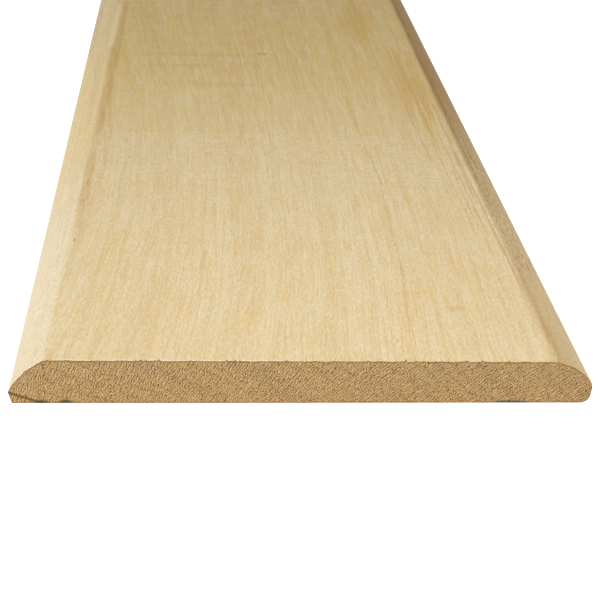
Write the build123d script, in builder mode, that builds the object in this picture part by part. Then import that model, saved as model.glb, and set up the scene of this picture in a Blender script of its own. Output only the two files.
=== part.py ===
from build123d import *
from math import atan2, cos, degrees, radians, sin, sqrt, tan
import os

# Threshold reducer strip: one piece of hardwood, moulded on both long edges and sawn square at its ends.
# Millimetres. X runs across the strip, Y along it, Z up, and the origin is the middle of the underside.

# The board
width = 139.7
thickness = 12.7
length = 914.4

# The long rounded bevel that both top edges share, and how steeply each one leaves the top face
bevel_radius = 19.05
left_arris_slope = 23.5
right_arris_slope = 15.0

# The left edge ends in a crisp nose over a flat heel that leans in towards the floor
left_nose_radius = 0.4
left_nose_height = 3.2
left_heel_lean = 11.5
left_corner_ease = 0.4

# The right edge has a blunt round nose, a narrow upright band and a small round heel
right_nose_radius = 4.7625
right_nose_height = 4.0
right_heel_radius = 2.38125


def bevel_centre(arris_slope, nose_radius, nose_height):
    """Centre of a bevel's arc: in from the nose, then height above the underside.

    The arc meets the top face at the arris slope and runs into the nose's arc without a corner.
    """
    centre_height = thickness - bevel_radius * cos(radians(arris_slope))
    apart = bevel_radius - nose_radius
    inset = nose_radius + sqrt(apart**2 - (centre_height - nose_height) ** 2)
    return inset, centre_height


def join_angle(inset, centre_height, nose_radius, nose_height):
    """How far above level the bevel's arc runs into the nose's arc, in degrees."""
    return degrees(atan2(nose_height - centre_height, inset - nose_radius))


left_inset, left_centre_height = bevel_centre(left_arris_slope, left_nose_radius, left_nose_height)
left_join = join_angle(left_inset, left_centre_height, left_nose_radius, left_nose_height)
left_nose_x = -width / 2 + left_nose_radius

right_inset, right_centre_height = bevel_centre(right_arris_slope, right_nose_radius, right_nose_height)
right_join = join_angle(right_inset, right_centre_height, right_nose_radius, right_nose_height)
right_nose_x = width / 2 - right_nose_radius
right_heel_x = width / 2 - right_heel_radius

# Where the leaning heel starts on the left nose, and where it meets the underside
heel_top_x = left_nose_x - left_nose_radius * cos(radians(left_heel_lean))
heel_top_height = left_nose_height - left_nose_radius * sin(radians(left_heel_lean))
heel_foot_x = heel_top_x + heel_top_height * tan(radians(left_heel_lean))

with BuildPart() as threshold_strip:
    with BuildSketch(Plane.XZ) as section:
        with BuildLine() as outline:
            underside = Line((heel_foot_x, 0), (right_heel_x, 0))
            right_heel = CenterArc(
                center=(right_heel_x, right_heel_radius),
                radius=right_heel_radius,
                start_angle=-90,
                arc_size=90,
            )
            right_nose = CenterArc(
                center=(right_nose_x, right_nose_height),
                radius=right_nose_radius,
                start_angle=0,
                arc_size=right_join,
            )
            right_band = Line(right_heel @ 1, right_nose @ 0)
            right_bevel = CenterArc(
                center=(width / 2 - right_inset, right_centre_height),
                radius=bevel_radius,
                start_angle=right_join,
                arc_size=90 - right_arris_slope - right_join,
            )
            left_bevel = CenterArc(
                center=(-width / 2 + left_inset, left_centre_height),
                radius=bevel_radius,
                start_angle=90 + left_arris_slope,
                arc_size=90 - left_arris_slope - left_join,
            )
            top_face = Line(right_bevel @ 1, left_bevel @ 0)
            left_nose = CenterArc(
                center=(left_nose_x, left_nose_height),
                radius=left_nose_radius,
                start_angle=180 - left_join,
                arc_size=left_join + left_heel_lean,
            )
            left_heel = Line(left_nose @ 1, underside @ 0)
        make_face()
        heel_foot = section.vertices().group_by(Axis.Y)[0].sort_by(Axis.X)[0]
        fillet(heel_foot, radius=left_corner_ease)
    extrude(amount=length / 2, both=True)

threshold_strip.part.label = "threshold_strip"

os.makedirs("parts", exist_ok=True)
export_step(threshold_strip.part, "parts/threshold_strip.step")
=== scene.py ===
import math

import bpy
from mathutils import Matrix, Vector, noise


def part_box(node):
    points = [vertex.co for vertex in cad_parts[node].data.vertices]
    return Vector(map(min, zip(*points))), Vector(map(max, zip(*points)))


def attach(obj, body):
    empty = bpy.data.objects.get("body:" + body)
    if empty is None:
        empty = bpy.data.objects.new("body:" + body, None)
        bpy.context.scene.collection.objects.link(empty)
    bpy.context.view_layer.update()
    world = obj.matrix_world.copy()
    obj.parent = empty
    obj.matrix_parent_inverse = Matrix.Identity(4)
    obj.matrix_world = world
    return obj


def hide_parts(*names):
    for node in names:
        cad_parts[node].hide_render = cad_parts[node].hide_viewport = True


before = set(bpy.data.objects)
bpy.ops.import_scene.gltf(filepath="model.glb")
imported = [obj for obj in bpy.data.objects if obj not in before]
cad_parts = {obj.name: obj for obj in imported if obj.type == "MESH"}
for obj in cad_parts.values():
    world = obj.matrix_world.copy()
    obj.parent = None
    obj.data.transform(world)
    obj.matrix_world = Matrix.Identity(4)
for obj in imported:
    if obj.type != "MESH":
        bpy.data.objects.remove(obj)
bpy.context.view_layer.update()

# A threshold strip of pale hardwood: one board, moulded along both long edges, sanded, and sawn square at its
# ends. The section is worked in millimetres, and the meshes are in metres.
MM = 0.001
strip_low, strip_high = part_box("threshold_strip")
WIDTH = (strip_high.x - strip_low.x) / MM
THICKNESS = (strip_high.z - strip_low.z) / MM
LENGTH = (strip_high.y - strip_low.y) / MM

# The moulded edges
BEVEL_RADIUS = 19.05
LEFT_ARRIS_SLOPE = math.radians(23.5)
LEFT_NOSE_RADIUS = 0.4
LEFT_NOSE_HEIGHT = 3.2
LEFT_HEEL_LEAN = math.radians(11.5)
RIGHT_ARRIS_SLOPE = math.radians(15.0)
RIGHT_NOSE_RADIUS = 4.7625
RIGHT_NOSE_HEIGHT = 4.0
RIGHT_HEEL_RADIUS = 2.38125
# Half way up the narrow upright band between the right nose and its heel
RIGHT_BAND_HEIGHT = (RIGHT_NOSE_HEIGHT + RIGHT_HEEL_RADIUS) / 2
# How much the corner between the left heel and the underside is rounded off
HEEL_EASE = 0.16

# How far sanding moved each arris in from its place: a slow sweep along the strip, its length, and how far
# from the near end it starts
LEFT_SWEEP = 2.4
LEFT_SWEEP_LENGTH = 850.0
LEFT_SWEEP_START = 58.0
RIGHT_SWEEP = -0.9
RIGHT_SWEEP_LENGTH = 1200.0
RIGHT_SWEEP_START = 50.0
# How far each arris wavers about its sweep, over what distance, and where in the noise each side reads it
ARRIS_WAVER = 0.35
ARRIS_WAVER_LENGTH = 28.0
WAVER_SIDE_SHIFT = 5.3
LEFT_WAVER_SEED = 15.3
RIGHT_WAVER_SEED = 23.8
# How far to either side of an arris its corner is rounded
LEFT_ARRIS_REACH = 0.75
RIGHT_ARRIS_REACH = 1.5

# How the saw left the ends: fine pits all over, an upper arris worn back and down, and chips out of it. Each
# is drawn from a noise. The near end reads it this far to one side of 0, and the far end as far to the other.
SAW_PIT_DEPTH = 0.07
SAW_PIT_SIZE = 0.45
SAW_PIT_SHIFT = 7.0
CHIP_DEPTH = 1.1
CHIP_SIZE = 0.6
CHIP_SHIFT = 3.0
WORN_BACK = 0.3
WORN_DOWN = 0.25
WORN_SIZE = 2.5
WORN_SHIFT = 9.0
WORN_SEED = 4.0
# The wear dies out towards each long edge, over this distance in from it
WORN_FADE = 2.0

# Mesh spacing along the strip: how far apart its rows are, and how far from each sawn end they become even
ROW_SPACING = 5.0
SETTLED_ROW = 1.5
# Mesh spacing across the strip: columns round a nose, over a bevel, to either side of an arris, and on the
# flat, where only the rows beside a sawn end have the fine ones
NOSE_STEPS = 15
BEVEL_STEPS = 22
CREST_STEP = 0.3
CREST_STEPS = 5
COARSE_STEPS = 20
FINE_PER_COARSE = 18
# Rows up a sawn end
CAP_ROWS = 24
# Corners that turn more than this look sharp
SHARP_TURN = math.radians(30.0)

# Material slots of the board's mesh
FACE_SLOT = 0
CUT_SLOT = 1


def placed(name, data):
    """A new object in the scene."""
    made = bpy.data.objects.new(name, data)
    bpy.context.scene.collection.objects.link(made)
    return made


def smooth_min(a, b, ease):
    """The lower of two heights, with the corner between them rounded off."""
    near = max(ease - abs(a - b), 0.0) / ease
    return min(a, b) - near * near * ease / 4


class MouldedEdge:
    """One long edge of the section. Runs are distances in from its nose, heights are from the underside."""

    def __init__(
        self,
        side,
        arris_slope,
        arris_reach,
        nose_radius,
        nose_height,
        sweep,
        sweep_length,
        sweep_start,
        seed,
    ):
        self.side = side
        self.seed = seed
        self.nose_radius = nose_radius
        self.nose_height = nose_height
        self.sweep = sweep
        self.sweep_length = sweep_length
        self.sweep_start = sweep_start
        self.centre_height = THICKNESS - BEVEL_RADIUS * math.cos(arris_slope)
        apart = BEVEL_RADIUS - nose_radius
        self.centre_in = nose_radius + math.sqrt(apart**2 - (self.centre_height - nose_height) ** 2)
        self.join = math.atan2(nose_height - self.centre_height, self.centre_in - nose_radius)
        self.join_in = nose_radius * (1 - math.cos(self.join))
        self.arris_in = self.centre_in - BEVEL_RADIUS * math.sin(arris_slope)
        self.arris_ease = arris_reach * math.tan(arris_slope)

    def arris(self, along):
        """The run of the arris, at a distance from the near end."""
        slow = self.sweep * math.sin(math.tau * (along - self.sweep_start) / self.sweep_length)
        read_at = Vector((self.side * WAVER_SIDE_SHIFT, along / ARRIS_WAVER_LENGTH, self.seed))
        return self.arris_in + slow + ARRIS_WAVER * noise.noise(read_at)

    def bevel(self, run):
        return self.centre_height + math.sqrt(BEVEL_RADIUS**2 - (self.centre_in - run) ** 2)

    def top(self, run, arris):
        """Height of the upper surface. The bevel is sanded down or left full to meet the top at the arris."""
        if run < self.join_in:
            inside = self.nose_radius**2 - (self.nose_radius - run) ** 2
            return self.nose_height + math.sqrt(max(inside, 0.0))
        if run > self.centre_in:
            return THICKNESS
        share = min((run - self.join_in) / (arris - self.join_in), 1.0)
        sanded = self.bevel(run) + share * (THICKNESS - self.bevel(arris))
        return smooth_min(sanded, THICKNESS, self.arris_ease)

    def runs(self, along):
        """Runs of this edge's columns: close round the nose, even over the bevel, and set about the arris."""
        turns = [math.pi / 2 * step / NOSE_STEPS for step in range(NOSE_STEPS + 1)]
        nose = [RIGHT_HEEL_RADIUS * (1 - math.cos(turn)) for turn in turns]
        crest = [self.arris(along) + step * CREST_STEP for step in range(-CREST_STEPS, CREST_STEPS + 1)]
        span = crest[0] - nose[-1]
        bevel = [nose[-1] + span * step / BEVEL_STEPS for step in range(1, BEVEL_STEPS)]
        return nose + bevel + crest


left_edge = MouldedEdge(
    side=-1.0,
    arris_slope=LEFT_ARRIS_SLOPE,
    arris_reach=LEFT_ARRIS_REACH,
    nose_radius=LEFT_NOSE_RADIUS,
    nose_height=LEFT_NOSE_HEIGHT,
    sweep=LEFT_SWEEP,
    sweep_length=LEFT_SWEEP_LENGTH,
    sweep_start=LEFT_SWEEP_START,
    seed=LEFT_WAVER_SEED,
)
right_edge = MouldedEdge(
    side=1.0,
    arris_slope=RIGHT_ARRIS_SLOPE,
    arris_reach=RIGHT_ARRIS_REACH,
    nose_radius=RIGHT_NOSE_RADIUS,
    nose_height=RIGHT_NOSE_HEIGHT,
    sweep=RIGHT_SWEEP,
    sweep_length=RIGHT_SWEEP_LENGTH,
    sweep_start=RIGHT_SWEEP_START,
    seed=RIGHT_WAVER_SEED,
)


def bottom_height(across):
    """Height of the lower surface: the left heel leans in, and the right edge rolls under."""
    left_run = across + WIDTH / 2
    right_run = WIDTH / 2 - across
    if right_run < RIGHT_HEEL_RADIUS:
        inside = RIGHT_HEEL_RADIUS**2 - (RIGHT_HEEL_RADIUS - right_run) ** 2
        return RIGHT_HEEL_RADIUS - math.sqrt(max(inside, 0.0))
    heel_top_in = LEFT_NOSE_RADIUS * (1 - math.cos(LEFT_HEEL_LEAN))
    heel_top = LEFT_NOSE_HEIGHT - LEFT_NOSE_RADIUS * math.sin(LEFT_HEEL_LEAN)
    if left_run < heel_top_in:
        inside = LEFT_NOSE_RADIUS**2 - (LEFT_NOSE_RADIUS - left_run) ** 2
        return LEFT_NOSE_HEIGHT - math.sqrt(max(inside, 0.0))
    heel = heel_top - (left_run - heel_top_in) / math.tan(LEFT_HEEL_LEAN)
    return -smooth_min(-heel, 0.0, HEEL_EASE)


def worn_share(place, level, scale, share, least, most=math.inf):
    """How much of its full depth a kind of wear has at a place, kept from the least to the most.

    It is a noise about a level, with a share of the same noise at another scale added to it.
    """
    rough = level + noise.noise(place) + share * noise.noise(place * scale)
    return min(max(least, rough), most)


def saw_pits(across, height, inward):
    """How far a sawn end is torn back at a place on it."""
    place = Vector((across / SAW_PIT_SIZE, height / SAW_PIT_SIZE, inward * SAW_PIT_SHIFT))
    return SAW_PIT_DEPTH * worn_share(place, level=0.5, scale=0.35, share=0.6, least=0.0)


def edge_chips(across, inward):
    """How far a sawn end's upper arris is chipped back at a place across it."""
    place = Vector((across / CHIP_SIZE, inward * CHIP_SHIFT, 0.0))
    return CHIP_DEPTH * worn_share(place, level=-0.15, scale=0.3, share=0.6, least=0.0, most=0.8)


def arris_drop(across, inward):
    """How far a sawn end's upper arris is worn down at a place across it."""
    place = Vector((across / WORN_SIZE, inward * WORN_SHIFT, WORN_SEED))
    return WORN_DOWN * worn_share(place, level=0.6, scale=5.0, share=0.5, least=0.15, most=1.0)


class Board:
    """The strip's mesh as it is put together: points in millimetres, faces, and what the materials read."""

    def __init__(self):
        self.points = []
        self.from_arris = []
        self.from_rim = []
        self.faces = []
        self.slots = []

    def point(self, across, along, height, from_arris=0.0, from_rim=0.0):
        self.points.append([across, along, height])
        self.from_arris.append(from_arris)
        self.from_rim.append(from_rim)
        return len(self.points) - 1

    def face(self, corners, slot, turned=False):
        """Adds a face without its doubled corners, or nothing where only two are left."""
        kept = [corner for place, corner in enumerate(corners) if corner != corners[place - 1]]
        if len(kept) > 2:
            self.faces.append(tuple(reversed(kept)) if turned else tuple(kept))
            self.slots.append(slot)

    def row(self, along, fine):
        """Adds the points round the section at one distance along, and gives its top chain and bottom chain.

        The chains share their first and last points. Unless the row is fine, it leaves out most of the flat.
        """
        left = [run - WIDTH / 2 for run in left_edge.runs(along)]
        right = [WIDTH / 2 - run for run in reversed(right_edge.runs(along))]
        count = COARSE_STEPS * FINE_PER_COARSE
        flat = [left[-1] + (right[0] - left[-1]) * step / count for step in range(1, count)]
        columns = left + flat + right
        top = []
        bottom = []
        for number, across in enumerate(columns):
            step = number - len(left) + 1
            if not fine and 0 < step < count and step % FINE_PER_COARSE:
                top.append(None)
                bottom.append(None)
                continue
            edge = left_edge if across < 0 else right_edge
            run = WIDTH / 2 - abs(across)
            arris = edge.arris(along)
            if number in (0, len(columns) - 1):
                height = LEFT_NOSE_HEIGHT if number == 0 else RIGHT_BAND_HEIGHT
                top.append(self.point(across, along, height, run - arris))
                bottom.append(top[-1])
                continue
            top.append(self.point(across, along, edge.top(run, arris), run - arris))
            bottom.append(self.point(across, along, bottom_height(across), run - arris))
        return top, bottom

    def join(self, near, far, turned=False):
        """Adds the faces between two chains, either of which may leave out columns that the other has."""
        shared = [place for place, (a, b) in enumerate(zip(near, far)) if a is not None and b is not None]
        for first, last in zip(shared, shared[1:]):
            there = [corner for corner in near[first:last + 1] if corner is not None]
            back = [corner for corner in reversed(far[first:last + 1]) if corner is not None]
            self.face(there + back, FACE_SLOT, turned)

    def wear(self, cut, beside, inward):
        """Chips the upper arris of a sawn end back, and wears it down."""
        for first, second in zip(cut[1:-1], beside[1:-1]):
            across = self.points[first][0]
            run = WIDTH / 2 - abs(across)
            chip = edge_chips(across, inward)
            self.points[first][1] += inward * chip
            self.points[second][1] += inward * chip
            self.points[first][2] -= arris_drop(across, inward) * min(run / WORN_FADE, 1.0)

    def cap(self, top, bottom, along, inward):
        """Adds a sawn end: a grid of fine pits between the bottom chain and the top chain."""
        lines = []
        for high, low in zip(top, bottom):
            across, _, high_height = self.points[high]
            low_height = self.points[low][2]
            line = [low]
            for step in range(1, CAP_ROWS):
                if high == low:
                    line.append(low)
                    continue
                height = low_height + (high_height - low_height) * step / CAP_ROWS
                back = inward * saw_pits(across, height, inward)
                from_rim = min(height - low_height, high_height - height)
                line.append(self.point(across, along + back, height, from_rim=from_rim))
            lines.append(line + [high])
        for line, next_line in zip(lines, lines[1:]):
            for step in range(CAP_ROWS):
                corners = [line[step], next_line[step], next_line[step + 1], line[step + 1]]
                self.face(corners, CUT_SLOT, turned=inward < 0)

    def mesh(self, name):
        mesh = bpy.data.meshes.new(name)
        mesh.from_pydata([(x * MM, (y - LENGTH / 2) * MM, z * MM) for x, y, z in self.points], [], self.faces)
        mesh.polygons.foreach_set("material_index", self.slots)
        mesh.polygons.foreach_set("use_smooth", [True] * len(self.faces))
        for attribute, values in (("from_arris", self.from_arris), ("from_rim", self.from_rim)):
            mesh.attributes.new(attribute, "FLOAT", "POINT").data.foreach_set("value", values)
        mesh.validate()
        mesh.set_sharp_from_angle(angle=SHARP_TURN)
        return mesh


def build_strip(materials):
    """The board as one closed mesh: long faces of the moulded section, and a pitted cap on each sawn end."""
    board = Board()
    near_end = [board.row(along, True) for along in (0.0, WORN_BACK, SETTLED_ROW)]
    far_end = [board.row(LENGTH - along, True) for along in (SETTLED_ROW, WORN_BACK, 0.0)]
    span = LENGTH - 2 * SETTLED_ROW
    count = round(span / ROW_SPACING)
    middle = [board.row(SETTLED_ROW + span * step / count, False) for step in range(1, count)]
    rows = near_end + middle + far_end
    for (near_top, near_bottom), (far_top, far_bottom) in zip(rows, rows[1:]):
        board.join(near_top, far_top)
        board.join(near_bottom, far_bottom, turned=True)
    for cut, beside, along, inward in ((rows[0], rows[1], 0.0, 1.0), (rows[-1], rows[-2], LENGTH, -1.0)):
        board.wear(cut[0], beside[0], inward)
        board.cap(*cut, along, inward)
    mesh = board.mesh("strip_board")
    for material in materials:
        mesh.materials.append(material)
    return placed("strip_board", mesh)


def linear(hex_colour):
    """An sRGB hex colour as linear light."""
    channels = [int(hex_colour[place:place + 2], 16) / 255 for place in (1, 3, 5)]
    bent = [c / 12.92 if c <= 0.04045 else ((c + 0.055) / 1.055) ** 2.4 for c in channels]
    return (*bent, 1.0)


# Sockets of the Mix node when it mixes colours
MIX_FACTOR, MIX_FIRST, MIX_SECOND, MIX_RESULT = 0, 6, 7, 2


def add(tree, kind, inputs, give=0, **settings):
    """Adds a shader node with its settings and links, and gives one of its outputs, where it has any."""
    made = tree.nodes.new("ShaderNode" + kind)
    for name, value in settings.items():
        setattr(made, name, value)
    for key, value in inputs.items():
        if isinstance(value, bpy.types.NodeSocket):
            tree.links.new(value, made.inputs[key])
        else:
            made.inputs[key].default_value = value
    return made.outputs[give] if len(made.outputs) else None


def empty_tree(owner):
    """The node tree of a new material or world, without its first nodes."""
    owner.use_nodes = True
    owner.node_tree.nodes.clear()
    return owner.node_tree


# How the grain lies in the board, in millimetres. The pith of the tree was below the board and to its left.
PITH_ACROSS = -144.0
PITH_HEIGHT = -189.0
# How far apart the years' rings are, how far a noise moves them in and out, and the scale of that noise
RING_SPACING = 3.3
RING_STRAY = 9.0
RING_STRAY_SCALE = 0.11
# The grain sways from side to side along the board. A shorter sway adds to that, this share of the distance
# from a pivot on the right, so that it is widest at the left edge.
SWAY = 4.0
SWAY_LENGTH = 700.0
FAN = 0.09
FAN_LENGTH = 350.0
FAN_PIVOT = 40.0
# How far the grain wanders, and over what distance across, along and up
SLOW_WANDER = 2.5
SLOW_WANDER_SIZE = (45.0, 130.0, 30.0)
FINE_WANDER = 0.35
FINE_WANDER_SIZE = (3.0, 9.0, 3.0)


def board_place(tree):
    """A point of the board in millimetres: across from its middle, along from its near end, and up."""
    in_metres = add(tree, "TexCoord", {}, give="Object")
    place = add(tree, "VectorMath", {0: in_metres, "Scale": 1 / MM}, operation="SCALE")
    return add(tree, "VectorMath", {0: place, 1: (0.0, LENGTH / 2, 0.0)}, operation="ADD")


def product(tree, pattern, *others):
    """A pattern times a number or other patterns. With patterns from 0 to 1, it is where they all are."""
    for other in others:
        pattern = add(tree, "Math", {0: pattern, 1: other}, operation="MULTIPLY")
    return pattern


def wave(tree, along, amount, length):
    """A slow sine of the distance along the board."""
    turn = product(tree, along, math.tau / length)
    return product(tree, add(tree, "Math", {0: turn}, operation="SINE"), amount)


def stretched_noise(tree, place, size, detail=0.0, roughness=0.5, shift=0.0, give=0):
    """Noise whose grains have this size across, along and up, in millimetres."""
    mapping = {"Vector": place, "Scale": tuple(1 / part for part in size), "Location": (shift, shift, shift)}
    inputs = {"Vector": add(tree, "Mapping", mapping), "Scale": 1.0, "Detail": detail, "Roughness": roughness}
    return add(tree, "TexNoise", inputs, give=give)


def wandered(tree, place, amount, size):
    """The place, pushed about across and up by a slow noise."""
    push = stretched_noise(tree, place, size, detail=1.0, give="Color")
    push = add(tree, "VectorMath", {0: push, 1: (0.5, 0.5, 0.5)}, operation="SUBTRACT")
    push = add(tree, "VectorMath", {0: push, 1: (2 * amount, 0.0, 2 * amount)}, operation="MULTIPLY")
    return add(tree, "VectorMath", {0: place, 1: push}, operation="ADD")


def grain_place(tree, place):
    """Where a point lies in the tree's own grain: across, along and up, without the sway and the wander."""
    split = add(tree, "SeparateXYZ", {0: place}).node
    across, along = split.outputs["X"], split.outputs["Y"]
    from_pivot = add(tree, "Math", {0: FAN_PIVOT, 1: across}, operation="SUBTRACT")
    fan = product(tree, wave(tree, along, -FAN, FAN_LENGTH), from_pivot)
    sway = add(tree, "Math", {0: wave(tree, along, -SWAY, SWAY_LENGTH), 1: fan}, operation="ADD")
    straight = add(tree, "VectorMath", {0: place, 1: add(tree, "CombineXYZ", {"X": sway})}, operation="ADD")
    slow = wandered(tree, straight, SLOW_WANDER, SLOW_WANDER_SIZE)
    return wandered(tree, slow, FINE_WANDER, FINE_WANDER_SIZE)


def ring_place(tree, grain):
    """Distance round the pith and distance out from it, in millimetres, as a vector, and the second alone."""
    pith = (PITH_ACROSS, 0.0, PITH_HEIGHT)
    from_pith = add(tree, "VectorMath", {0: grain, 1: pith}, operation="SUBTRACT")
    flat = add(tree, "VectorMath", {0: from_pith, 1: (1.0, 0.0, 1.0)}, operation="MULTIPLY")
    out = add(tree, "VectorMath", {0: flat}, give="Value", operation="LENGTH")
    split = add(tree, "SeparateXYZ", {0: flat}).node
    turn = add(tree, "Math", {0: split.outputs["Z"], 1: split.outputs["X"]}, operation="ARCTAN2")
    around = product(tree, turn, math.hypot(PITH_ACROSS, PITH_HEIGHT))
    return add(tree, "CombineXYZ", {"X": around, "Y": out}), out


def ring_lines(tree, out, width):
    """1 on the dark line that ends each year's growth, falling to 0 over part of the spacing."""
    uneven = add(
        tree,
        "TexNoise",
        {"W": out, "Scale": RING_STRAY_SCALE, "Detail": 1.0},
        noise_dimensions="1D",
    )
    bent = add(tree, "Math", {0: uneven, 1: RING_STRAY, 2: out}, operation="MULTIPLY_ADD")
    height = add(tree, "Math", {0: product(tree, bent, math.tau / RING_SPACING)}, operation="COSINE")
    return add(tree, "MapRange", {"Value": height, "From Min": 1.0 - width, "From Max": 1.0})


def spot(tree, place, centre, reach):
    """1 at a centre, falling to 0 at this reach across, along and up from it."""
    off = add(tree, "VectorMath", {0: place, 1: centre}, operation="SUBTRACT")
    share = add(tree, "VectorMath", {0: off, 1: tuple(1 / part for part in reach)}, operation="MULTIPLY")
    distance = add(tree, "VectorMath", {0: share}, give="Value", operation="LENGTH")
    return add(
        tree,
        "MapRange",
        {"Value": distance, "From Min": 1.0, "From Max": 0.0},
        interpolation_type="SMOOTHSTEP",
    )


def between(tree, value, low, high, fade):
    """1 from low to high, falling to 0 over the fade on either side."""
    off = add(tree, "Math", {0: value, 1: (low + high) / 2}, operation="SUBTRACT")
    off = add(tree, "Math", {0: off}, operation="ABSOLUTE")
    half = (high - low) / 2
    return add(tree, "MapRange", {"Value": off, "From Min": half + fade, "From Max": half})


# How far past its ends a streak fades out
STREAK_END_FADE = 8.0


def streak(tree, across, along, start, end, width):
    """1 on a line between two places, each across and along, falling to 0 beside it and past its ends."""
    lean = (end[0] - start[0]) / (end[1] - start[1])
    middle = add(tree, "Math", {0: along, 1: lean, 2: start[0] - start[1] * lean}, operation="MULTIPLY_ADD")
    off = add(tree, "Math", {0: across, 1: middle}, operation="SUBTRACT")
    beside = between(tree, off, 0.0, 0.0, width)
    return product(tree, beside, between(tree, along, start[1], end[1], STREAK_END_FADE))


def ripples(tree, value, spacing, bend, amount):
    """A sine across the value with this spacing in millimetres, its lines bent by a noise."""
    steady = product(tree, value, math.tau / spacing)
    turn = add(tree, "Math", {0: bend, 1: amount, 2: steady}, operation="MULTIPLY_ADD")
    return add(tree, "Math", {0: turn}, operation="SINE")


def open_pores(tree, polar, spacing, reach, share):
    """1 at the middle of an open pore, in this share of cells that are this far apart in millimetres."""
    cells = add(tree, "VectorMath", {0: polar, "Scale": 1 / spacing}, operation="SCALE")
    nearest = add(
        tree,
        "TexVoronoi",
        {"Vector": cells, "Scale": 1.0},
        give="Distance",
        voronoi_dimensions="2D",
    )
    depth = add(tree, "MapRange", {"Value": nearest, "From Min": reach, "From Max": reach / 2})
    chance = add(tree, "SeparateXYZ", {0: nearest.node.outputs["Color"]}, give="X")
    return product(tree, depth, add(tree, "Math", {0: chance, 1: share}, operation="LESS_THAN"))


def layered(tree, colour, layers):
    """The colour with layers over it: a pattern, where it starts and is full, its colour and its strength."""
    for pattern, start, full, tint, strength in layers:
        share = add(
            tree,
            "MapRange",
            {"Value": pattern, "From Min": start, "From Max": full, "To Max": strength},
            interpolation_type="SMOOTHSTEP",
        )
        colour = add(
            tree,
            "Mix",
            {MIX_FACTOR: share, MIX_FIRST: colour, MIX_SECOND: linear(tint)},
            give=MIX_RESULT,
            data_type="RGBA",
        )
    return colour


# How far to either side of an arris a bevel's look comes in, its lines and the left one's painted sheen, and
# the same for the right one's brown, which is painted shade
BEVEL_FADE = 0.6
RIGHT_BEVEL_FADE = 1.2
# How far from the sawn ends the left bevel's painted sheen starts, and where it is palest
SHEEN_START = 115.0
SHEEN_FULL = 50.0
# How far from the sawn ends the wood starts to look softer, and browner as painted shade where the light
# falls away along the strip, and is so in full
FAR_START = 60.0
FAR_FULL = 180.0
# How far from the sawn ends the left half's edge starts to look rubbed pale, and does so in full
RUBBED_START = 0.5
RUBBED_FULL = 0.2
# Bands beside an arris, measured in from it: where each starts and ends, and how far it fades out beyond
BROWN_BAND = (-1.4, -0.4, 1.3)
GOLDEN_RIM = (0.1, 1.8, 1.2)
# Stretches along the board, in the same way: of the golden rim, the chatter and the pale flecks
GOLDEN_STRETCH = (75.0, 235.0, 30.0)
CHATTER_STRETCH = (45.0, 110.0, 25.0)
FLECK_STRETCH = (90.0, 120.0, 20.0)
# The broken white line inside the right arris: its ends, across and along, and its half width
WHITE_LINE = ((59.7, 38.0), (58.7, 108.0), 1.2)
# How strong the hairs are far from the sawn ends
FAR_HAIRS = 0.4
# How deep the fibres are, in millimetres
FIBRE_RELIEF = 0.03
# Streaks in the faces: where each starts and ends, across and along, its half width, colour and strength
STREAKS = (
    ((25.0, 0.0), (28.3, 40.0), 1.5, "#c09448", 0.27),
    ((28.3, 40.0), (29.6, 90.0), 1.5, "#c09448", 0.27),
    ((29.6, 90.0), (27.2, 135.0), 1.5, "#c09448", 0.27),
    ((27.2, 135.0), (25.2, 185.0), 1.5, "#c09448", 0.24),
    ((54.3, 73.0), (54.4, 98.0), 0.5, "#96662c", 0.45),
    ((57.2, 80.0), (57.5, 150.0), 0.6, "#9c7038", 0.45),
    ((54.5, 138.0), (53.8, 175.0), 0.7, "#a87a38", 0.45),
    ((52.6, 115.0), (51.0, 205.0), 1.4, "#bf8a38", 0.36),
    ((55.8, 140.0), (54.4, 215.0), 1.1, "#b9822f", 0.36),
    ((48.6, 105.0), (47.4, 150.0), 1.0, "#c69544", 0.4),
    ((56.2, 60.0), (54.8, 130.0), 0.7, "#b08a4c", 0.35),
    ((52.8, 60.0), (51.6, 120.0), 0.7, "#b8945a", 0.3),
    ((63.4, 75.0), (63.5, 140.0), 0.5, "#8a6430", 0.5),
    ((3.0, 125.0), (-9.0, 200.0), 0.9, "#c9a258", 0.3),
    ((-3.0, 110.0), (-15.0, 200.0), 0.9, "#c9a258", 0.25),
    ((-9.0, 100.0), (-21.0, 195.0), 0.9, "#c9a258", 0.25),
    ((-15.5, 100.0), (-27.0, 190.0), 0.9, "#c9a258", 0.22),
    ((-61.0, 125.0), (-60.4, 185.0), 1.5, "#f2dca0", 0.3),
    ((-59.8, 200.0), (-59.0, 245.0), 3.6, "#f0dcae", 0.5),
    ((-68.3, 210.0), (-67.8, 300.0), 5.0, "#a8946a", 0.5),
    ((58.9, 32.0), (57.5, 125.0), 1.3, "#b08850", 0.45),
    ((-65.3, 140.0), (-65.0, 165.0), 1.2, "#e8c67c", 0.4),
)
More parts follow.
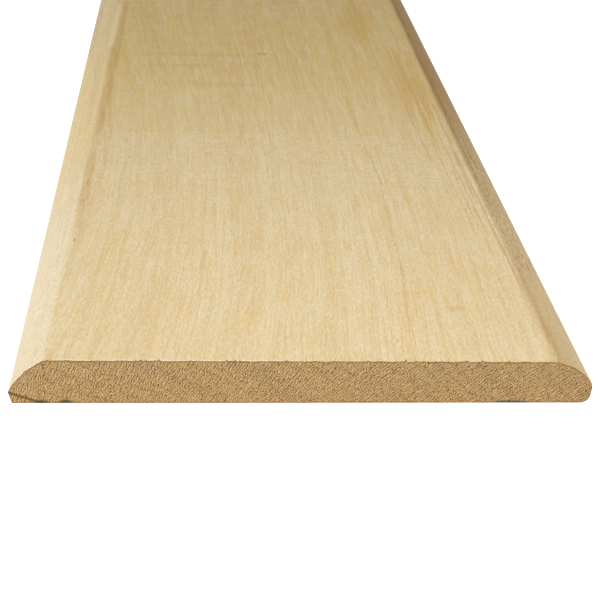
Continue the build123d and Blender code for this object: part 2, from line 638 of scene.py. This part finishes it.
# Spots in the faces: the middle of each, how far it reaches across and along, its colour and its strength
SPOTS = (
    ((51.0, 165.0), (13.0, 75.0), "#c99a38", 0.45),
    ((41.0, 240.0), (14.0, 50.0), "#c99d3e", 0.45),
    ((-57.5, 160.0), (5.0, 65.0), "#c89e48", 0.25),
    ((38.5, 22.0), (4.5, 2.6), "#cfa552", 0.5),
    ((-1.5, 194.5), (3.4, 2.2), "#a0823c", 0.5),
    ((-24.0, 192.0), (36.0, 4.5), "#b8984e", 0.25),
    ((-22.0, 163.0), (34.0, 4.5), "#b8984e", 0.22),
    ((-30.0, 180.0), (30.0, 4.0), "#b8984e", 0.2),
    ((-60.2, 1.0), (1.6, 4.0), "#cf9a44", 0.4),
    ((-60.9, 4.0), (0.4, 1.2), "#7a5424", 0.6),
    ((-59.3, 53.0), (0.5, 1.8), "#6b4a20", 0.8),
    ((-59.0, 75.0), (0.4, 2.6), "#80592a", 0.55),
    ((-58.6, 86.0), (0.4, 4.0), "#80592a", 0.55),
    ((-62.6, 119.0), (3.4, 14.0), "#e8c468", 0.45),
    ((60.6, 95.0), (1.0, 5.0), "#b8702c", 0.4),
    ((60.5, 10.0), (2.0, 16.0), "#c08848", 0.45),
    ((60.4, 60.0), (1.5, 34.0), "#e0c294", 0.5),
)
# How far down from the top a spot reaches, so that it stays off the underside
SPOT_DEPTH = 6.0


def sanded_hardwood():
    """Pale straw hardwood, planed and sanded bare.

    It is dull and warm, with long fine hair lines along the grain, faint year lines, a slight cross ripple
    and a few golden streaks. It is painted paler and greyer towards the sawn ends and palest on the left
    bevel, a painted sheen of the lamps there and on the left. The right bevel is painted browner, a painted
    shade as it faces away from them, browner still far from the ends and darkest just outside its arris. The
    cutter chattered on the right bevel and left specks. The fibres and hairs are drawn coarser than real
    ones, about a half and a quarter of a millimetre, so that they show.
    """
    material = bpy.data.materials.new("hardwood_planed_and_sanded")
    tree = empty_tree(material)
    place = board_place(tree)
    grain = grain_place(tree, place)
    out = ring_place(tree, grain)[1]
    split = add(tree, "SeparateXYZ", {0: place}).node
    across, along = split.outputs["X"], split.outputs["Y"]
    from_arris = add(tree, "Attribute", {}, give="Fac", attribute_name="from_arris")

    from_middle = add(tree, "Math", {0: along, 1: LENGTH / 2}, operation="SUBTRACT")
    from_middle = add(tree, "Math", {0: from_middle}, operation="ABSOLUTE")
    from_cut = add(tree, "Math", {0: LENGTH / 2, 1: from_middle}, operation="SUBTRACT")
    on_right = add(tree, "Math", {0: across, 1: 0.0}, operation="GREATER_THAN")
    on_left = add(tree, "Math", {0: across, 1: 0.0}, operation="LESS_THAN")
    fade = {"Value": from_arris, "From Min": BEVEL_FADE, "From Max": -BEVEL_FADE}
    on_bevel = add(tree, "MapRange", fade)
    left_bevel = product(tree, on_bevel, on_left)
    fade = {"Value": from_arris, "From Min": RIGHT_BEVEL_FADE, "From Max": -RIGHT_BEVEL_FADE}
    right_bevel = product(tree, add(tree, "MapRange", fade), on_right)
    # Painted sheen on the left bevel, strongest near the sawn ends where the lamps are
    sheen_near_end = add(tree, "MapRange", {"Value": from_cut, "From Min": SHEEN_START, "From Max": SHEEN_FULL})
    # Far from the sawn ends: painted shade, browner as the light falls away, and fainter hairs
    far = add(tree, "MapRange", {"Value": from_cut, "From Min": FAR_START, "From Max": FAR_FULL})
    brown_band = product(tree, right_bevel, between(tree, from_arris, *BROWN_BAND))
    inside_arris = between(tree, from_arris, *GOLDEN_RIM)
    golden_rim = product(tree, inside_arris, on_left, between(tree, along, *GOLDEN_STRETCH))
    rubbed = add(tree, "MapRange", {"Value": from_cut, "From Min": RUBBED_START, "From Max": RUBBED_FULL})
    chattered = product(tree, right_bevel, between(tree, along, *CHATTER_STRETCH))
    flecked = between(tree, along, *FLECK_STRETCH)
    white_line = streak(tree, across, along, *WHITE_LINE)

    broad = stretched_noise(tree, grain, (14.0, 150.0, 14.0), detail=1.0)
    streaks = stretched_noise(tree, grain, (1.6, 60.0, 1.6), detail=1.0)
    lines = stretched_noise(tree, grain, (2.6, 160.0, 2.6), detail=2.0, roughness=0.7, shift=9.0)
    fibre = stretched_noise(tree, grain, (0.5, 16.0, 0.5), detail=1.0, roughness=0.6)
    yellowing = stretched_noise(tree, grain, (2.2, 12.0, 2.2), detail=2.0, roughness=0.7, shift=17.0)
    bevel_lines = stretched_noise(tree, place, (0.7, 60.0, 0.7), detail=1.0)
    ripple = stretched_noise(tree, place, (16.0, 3.5, 16.0), detail=1.0)
    flecks = stretched_noise(tree, place, (3.0, 1.6, 3.0), detail=1.0)
    patches = stretched_noise(tree, place, (5.0, 14.0, 5.0), detail=1.0)
    specks = stretched_noise(tree, place, (0.5, 2.2, 0.5), shift=2.0)
    pale_specks = stretched_noise(tree, place, (0.5, 2.2, 0.5), shift=8.0)
    years = ring_lines(tree, out, width=0.7)
    # Fine hairs about a middle of 0, fainter away from the sawn ends, as the wood shows softer there
    hairs = stretched_noise(tree, grain, (0.27, 1.4, 0.27), shift=5.0)
    hairs = add(tree, "Math", {0: hairs, 1: 0.5}, operation="SUBTRACT")
    hairs = product(tree, hairs, add(tree, "MapRange", {"Value": far, "To Min": 1.0, "To Max": FAR_HAIRS}))

    marks = []
    for start, end, width, tint, strength in STREAKS:
        here = streak(tree, across, along, start, end, width)
        marks.append((product(tree, here, fibre), 0.2, 0.5, tint, strength))
    for middle, reach, tint, strength in SPOTS:
        here = spot(tree, place, (*middle, THICKNESS), (*reach, SPOT_DEPTH))
        marks.append((product(tree, here, streaks), 0.05, 0.5, tint, strength))

    colour = layered(
        tree,
        linear("#dabb70"),
        (
            # Painted sheen: the top paler and greyer towards each sawn end, where the lamps shine
            (from_cut, 230.0, 60.0, "#e0ca9e", 1.0),
            (broad, 0.4, 0.65, "#d6b87a", 0.2),
            (years, 0.0, 1.0, "#c6a264", 0.17),
            (streaks, 0.45, 0.7, "#ceb070", 0.17),
            # Painted shade: the lines browner far from the sawn ends
            (product(tree, lines, far), 0.45, 0.6, "#c8a866", 0.26),
            (lines, 0.5, 0.36, "#dccba8", 0.16),
            (yellowing, 0.5, 0.68, "#deb460", 0.28),
            (yellowing, 0.5, 0.32, "#e0d6bc", 0.26),
            (ripple, 0.45, 0.7, "#e4d2aa", 0.15),
            (product(tree, flecks, flecked), 0.45, 0.65, "#efe6cc", 0.15),
            # Painted sheen of the light from the left on the left bevel, palest near the sawn ends
            (left_bevel, 0.0, 1.0, "#d3bd8d", 0.6),
            (product(tree, left_bevel, sheen_near_end), 0.0, 1.0, "#dccdb0", 0.85),
            # Painted shade: the right bevel browner, as it faces away from the lamps on the left
            (right_bevel, 0.0, 1.0, "#bd924e", 0.45),
            (product(tree, on_right, from_arris), -3.0, -6.0, "#dcc8a0", 0.35),
            # Painted shade: the right bevel browner still far from the sawn ends
            (product(tree, right_bevel, far), 0.0, 1.0, "#94691e", 0.72),
            (brown_band, 0.0, 1.0, "#8c6020", 0.26),
            # Painted shade: the band just outside the right arris browner still far from the sawn ends
            (product(tree, brown_band, far), 0.0, 1.0, "#80551a", 0.4),
            (product(tree, golden_rim, patches), 0.15, 0.45, "#bf903e", 0.4),
            (product(tree, rubbed, on_left, patches), 0.3, 0.5, "#f6ead2", 0.6),
            (product(tree, on_bevel, bevel_lines), 0.48, 0.7, "#b08c50", 0.14),
            (product(tree, chattered, specks), 0.35, 0.6, "#80581c", 0.4),
            (product(tree, chattered, pale_specks), 0.4, 0.6, "#e6c890", 0.36),
            (product(tree, white_line, pale_specks), 0.4, 0.55, "#f4ead6", 0.45),
            *marks,
            (fibre, 0.53, 0.66, "#bd9f68", 0.19),
            (fibre, 0.47, 0.34, "#f0dfc0", 0.16),
            (hairs, 0.0, 0.16, "#bea67a", 0.22),
            (hairs, 0.0, -0.16, "#f4e2be", 0.2),
        ),
    )
    bump = add(tree, "Bump", {"Height": fibre, "Distance": FIBRE_RELIEF * MM, "Strength": 0.5})
    shader = add(
        tree,
        "BsdfPrincipled",
        {"Base Color": colour, "Roughness": 0.65, "IOR": 1.5, "Specular IOR Level": 0.2, "Normal": bump},
    )
    add(tree, "OutputMaterial", {"Surface": shader})
    return material


# The rays show on the sawn ends as short strokes, this far apart, in rows along the rings of this height. A
# noise bends both by this much, in radians. The strokes start and are full at these heights of a row's sine.
RAY_SPACING = 0.64
ROW_HEIGHT = 1.4
STROKE_BEND = 11.0
STROKE_START = -0.9
STROKE_FULL = -0.2
# The dark line that one year's growth left on the sawn ends: where it starts and ends, out from the pith, and
# how far it fades out. It shows only on the left, from this start across to where it is full.
DARK_YEAR = (205.75, 206.15, 0.4)
DARK_SIDE_START = -60.0
DARK_SIDE_FULL = -61.0
# How far in from the edges of a sawn end its browner rim starts and is full
RIM_START = 0.7
RIM_FULL = 0.1
# Painted contact shadow, grey patches along the foot of the near sawn end: the middle of each and how far it
# reaches, across and up
FOOT_SHADOWS = (((-62.3, 0.3), (2.4, 1.3)), ((-56.8, 0.3), (2.6, 1.3)), ((50.0, 0.2), (7.0, 0.9)))
# How far along the board the painted contact shadows reach
FOOT_SHADOW_DEPTH = 5.0


def sawn_end_grain():
    """The same wood cut across its grain by a saw.

    Darker and more golden than the faces, with short rays out from the pith, faint rings across them, and
    scattered open pores. The rays and pores are drawn coarser than real ones, the pores about a quarter of a
    millimetre, so that they show. Its edges are scorched browner, and its foot is painted grey in places, a
    painted contact shadow.
    """
    material = bpy.data.materials.new("hardwood_sawn_end_grain")
    tree = empty_tree(material)
    place = board_place(tree)
    grain = grain_place(tree, place)
    polar, out = ring_place(tree, grain)
    true_out = ring_place(tree, place)[1]
    across = add(tree, "SeparateXYZ", {0: place}, give="X")
    from_rim = add(tree, "Attribute", {}, give="Fac", attribute_name="from_rim")

    around = add(tree, "SeparateXYZ", {0: polar}, give="X")
    bend = stretched_noise(tree, polar, (1.0, 2.2, 1.0), detail=1.0, shift=7.0)
    rays = ripples(tree, around, RAY_SPACING, bend, STROKE_BEND)
    rows = ripples(tree, out, ROW_HEIGHT, bend, STROKE_BEND)
    in_row = add(tree, "MapRange", {"Value": rows, "From Min": STROKE_START, "From Max": STROKE_FULL})
    strokes = product(tree, in_row, rays)
    bands = stretched_noise(tree, polar, (40.0, 1.8, 1.0), detail=1.0)
    blotches = stretched_noise(tree, polar, (7.0, 4.0, 1.0), detail=1.0, shift=3.0)
    years = ring_lines(tree, out, width=0.5)
    speckle = stretched_noise(tree, grain, (0.25, 30.0, 0.25))
    pores = open_pores(tree, polar, spacing=1.0, reach=0.24, share=0.45)
    rim = add(tree, "MapRange", {"Value": from_rim, "From Min": RIM_START, "From Max": RIM_FULL})
    fade = {"Value": across, "From Min": DARK_SIDE_START, "From Max": DARK_SIDE_FULL}
    dark_year = product(tree, between(tree, true_out, *DARK_YEAR), add(tree, "MapRange", fade))

    # Painted contact shadow: grey patches along the foot of the near sawn end
    foot_shadows = []
    for (middle, height), (reach, up) in FOOT_SHADOWS:
        here = spot(tree, place, (middle, 0.0, height), (reach, FOOT_SHADOW_DEPTH, up))
        foot_shadows.append((product(tree, here, speckle), 0.02, 0.3, "#57543f", 0.85))

    colour = layered(
        tree,
        linear("#dcae60"),
        (
            (blotches, 0.45, 0.7, "#bd8a42", 0.15),
            (bands, 0.45, 0.7, "#b08848", 0.2),
            (years, 0.0, 1.0, "#8f5f26", 0.35),
            (rows, 0.3, 1.0, "#a8702c", 0.3),
            (strokes, 0.0, 0.6, "#8a4f0a", 0.85),
            (strokes, 0.0, -0.6, "#fde4ae", 0.7),
            (speckle, 0.5, 0.58, "#754812", 0.5),
            (speckle, 0.5, 0.42, "#fbe6b8", 0.45),
            (rim, 0.0, 1.0, "#a5641c", 0.45),
            (product(tree, rim, blotches), 0.3, 0.6, "#8f5410", 0.5),
            (dark_year, 0.0, 1.0, "#6b4418", 0.75),
            (pores, 0.0, 1.0, "#5f3a0e", 0.7),
            *foot_shadows,
        ),
    )
    inputs = {"Base Color": colour, "Roughness": 0.85, "IOR": 1.5, "Specular IOR Level": 0.15}
    shader = add(tree, "BsdfPrincipled", inputs)
    add(tree, "OutputMaterial", {"Surface": shader})
    return material


def seen_directly(tree):
    """1 for a ray from the camera, or one that a mirror or glass passes on, and 0 for light on the object."""
    paths = add(tree, "LightPath", {}).node
    either = add(
        tree,
        "Math",
        {0: paths.outputs["Is Camera Ray"], 1: paths.outputs["Is Glossy Ray"]},
        operation="MAXIMUM",
    )
    return add(tree, "Math", {0: either, 1: paths.outputs["Is Transmission Ray"]}, operation="MAXIMUM")


# How strong the even light on the object is, where 1 is as bright as the white that the camera sees
AMBIENT = 0.3
# The floor's half width in metres, and how bright it looks by itself, before the lamps bring it up to white
FLOOR_HALF = 4.0
FLOOR_GLOW = 0.78


def white_room():
    """Soft even light from all round, seen as plain white."""
    world = bpy.data.worlds.new("white_room")
    tree = empty_tree(world)
    seen = seen_directly(tree)
    strength = add(tree, "MapRange", {"Value": seen, "To Min": AMBIENT, "To Max": 1.0})
    shader = add(tree, "Background", {"Color": linear("#ffffff"), "Strength": strength})
    add(tree, "OutputWorld", {"Surface": shader})
    bpy.context.scene.world = world


def paper_floor():
    """Matt white paper, which the object's shadow falls on."""
    material = bpy.data.materials.new("floor_white_paper")
    tree = empty_tree(material)
    matt = add(tree, "BsdfDiffuse", {"Color": linear("#e8e8e8")})
    glow = add(tree, "Emission", {"Color": linear("#ffffff"), "Strength": FLOOR_GLOW})
    nothing = add(tree, "Emission", {"Strength": 0.0})
    seen = add(tree, "MixShader", {0: seen_directly(tree), 1: nothing, 2: glow})
    shader = add(tree, "AddShader", {0: matt, 1: seen})
    add(tree, "OutputMaterial", {"Surface": shader})
    corners = [(x * FLOOR_HALF, y * FLOOR_HALF, 0.0) for x, y in ((-1, -1), (1, -1), (1, 1), (-1, 1))]
    mesh = bpy.data.meshes.new("paper_floor")
    mesh.from_pydata(corners, [], [(0, 1, 2, 3)])
    mesh.materials.append(material)
    placed("paper_floor", mesh)


# Softboxes over one sawn end: how far across, how far beyond the end, how high and how wide, all in metres,
# and their watts. Each has a twin over the other end.
SOFTBOXES = {
    "overhead_softbox": (0.0, 0.05, 0.22, 0.15, 0.25),
    "left_softbox": (-0.35, 0.05, 0.15, 0.2, 0.45),
    "right_softbox": (0.25, 0.05, 0.3, 0.2, 0.36),
    "low_left_softbox": (-0.8, 0.1, 0.2, 0.35, 1.49),
}
# The softboxes aim at the underside, this share of the way from the board's middle to its end
SOFTBOX_AIM = 0.8


def softboxes():
    """Close soft lamps at both ends, most of them on the left, so that light falls away along the strip."""
    half = LENGTH / 2 * MM
    for name, (across, beyond, height, size, watts) in SOFTBOXES.items():
        for end in (-1, 1):
            light = bpy.data.lights.new(name, "AREA")
            light.shape = "SQUARE"
            light.size = size
            light.energy = watts
            lamp = placed(name, light)
            lamp.location = (across, end * (half + beyond), height)
            aim = Vector((0.0, end * half * SOFTBOX_AIM, 0.0))
            lamp.rotation_euler = (aim - lamp.location).to_track_quat("-Z", "Y").to_euler()
            lamp.visible_camera = False


# The camera stands in front of the near sawn end, a little to the left, and looks down along the strip
CAMERA_ACROSS = -27.97
CAMERA_BEFORE_END = 189.29
CAMERA_HEIGHT = 158.64
CAMERA_YAW = math.radians(-7.287)
CAMERA_PITCH = math.radians(34.017)
CAMERA_ROLL = math.radians(4.636)
SENSOR_WIDTH = 36.0
PICTURE_WIDTH = 600
FOCAL_PIXELS = 1031.2
# The nearest and furthest that the camera sees, in metres
NEAREST_SEEN = 0.01
FURTHEST_SEEN = 50.0


def camera():
    data = bpy.data.cameras.new("camera")
    data.sensor_width = SENSOR_WIDTH
    data.lens = FOCAL_PIXELS / PICTURE_WIDTH * SENSOR_WIDTH
    data.clip_start = NEAREST_SEEN
    data.clip_end = FURTHEST_SEEN
    eye = placed("camera", data)
    place = Vector((CAMERA_ACROSS, -LENGTH / 2 - CAMERA_BEFORE_END, CAMERA_HEIGHT)) * MM
    turn = (
        Matrix.Rotation(CAMERA_YAW, 4, "Z")
        @ Matrix.Rotation(math.pi / 2 - CAMERA_PITCH, 4, "X")
        @ Matrix.Rotation(CAMERA_ROLL, 4, "Z")
    )
    eye.matrix_world = Matrix.Translation(place) @ turn
    bpy.context.scene.camera = eye


bpy.context.scene.view_settings.view_transform = "Standard"
white_room()
paper_floor()
softboxes()
camera()

strip = build_strip([sanded_hardwood(), sawn_end_grain()])
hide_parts("threshold_strip")
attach(strip, "root")
